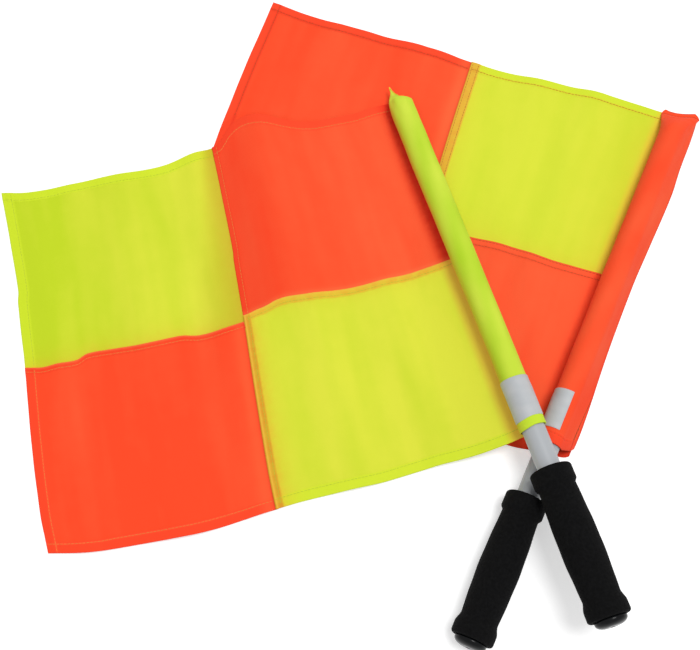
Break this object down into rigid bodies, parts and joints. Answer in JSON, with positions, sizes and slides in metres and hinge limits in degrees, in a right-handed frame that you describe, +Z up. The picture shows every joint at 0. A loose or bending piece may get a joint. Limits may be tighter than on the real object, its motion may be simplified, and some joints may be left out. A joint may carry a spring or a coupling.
{
  "type": "linesman flag",
  "caption": "Linesman flags laid crossed: checkered cloth sewn to a sleeve that turns on a plastic pole with a foam grip and an end cap.",
  "frame": {"origin": "middle of the box round both flags, on the floor that they lie on", "axes": "+Z up from the floor, +X to the right and +Y away from a viewer who looks at the grips' end"},
  "size_m": [0.67, 0.6324, 0.0716],
  "materials": {
    "orange_cloth": "woven, dull",
    "yellow_cloth": "woven, dull",
    "grey_tab": "coated, satin",
    "grey_plastic": "moulded, satin",
    "black_foam": "closed-cell foam, dull",
    "black_gloss": "moulded, glossy"
  },
  "bodies": {
    "lower_cloth": {"lower_panel_tip_sleeve": "yellow_cloth", "lower_panel_tip_fly": "orange_cloth", "lower_panel_grip_sleeve": "orange_cloth", "lower_panel_grip_fly": "yellow_cloth", "lower_sleeve": "orange_cloth", "lower_sleeve_tab": "grey_tab"},
    "lower_pole": {"lower_pole_tube": "grey_plastic", "lower_tip_plug": "grey_plastic", "lower_foam_grip": "black_foam", "lower_end_cap": "black_gloss"},
    "upper_cloth": {"upper_panel_tip_sleeve": "orange_cloth", "upper_panel_tip_fly": "yellow_cloth", "upper_panel_grip_sleeve": "yellow_cloth", "upper_panel_grip_fly": "orange_cloth", "upper_sleeve": "yellow_cloth", "upper_sleeve_tab": "grey_tab"},
    "upper_pole": {"upper_pole_tube": "grey_plastic", "upper_tip_plug": "grey_plastic", "upper_foam_grip": "black_foam", "upper_end_cap": "black_gloss"}
  },
  "joints": [
    {"name": "lower_pole_turn", "type": "hinge", "parent": "lower_cloth", "child": "lower_pole", "pos_m": [0.30945, 0.17838, 0.0126], "axis": [-0.4099, -0.912, 0.014], "continuous": true},
    {"name": "upper_lift", "type": "slide", "parent": "lower_cloth", "child": "upper_cloth", "axis": [0, 0, 1], "range_m": [0, 0.15]},
    {"name": "upper_pole_turn", "type": "hinge", "parent": "upper_cloth", "child": "upper_pole", "pos_m": [0.04026, 0.20256, 0.0135], "axis": [0.2998, -0.9509, 0.0775], "continuous": true}
  ]
}
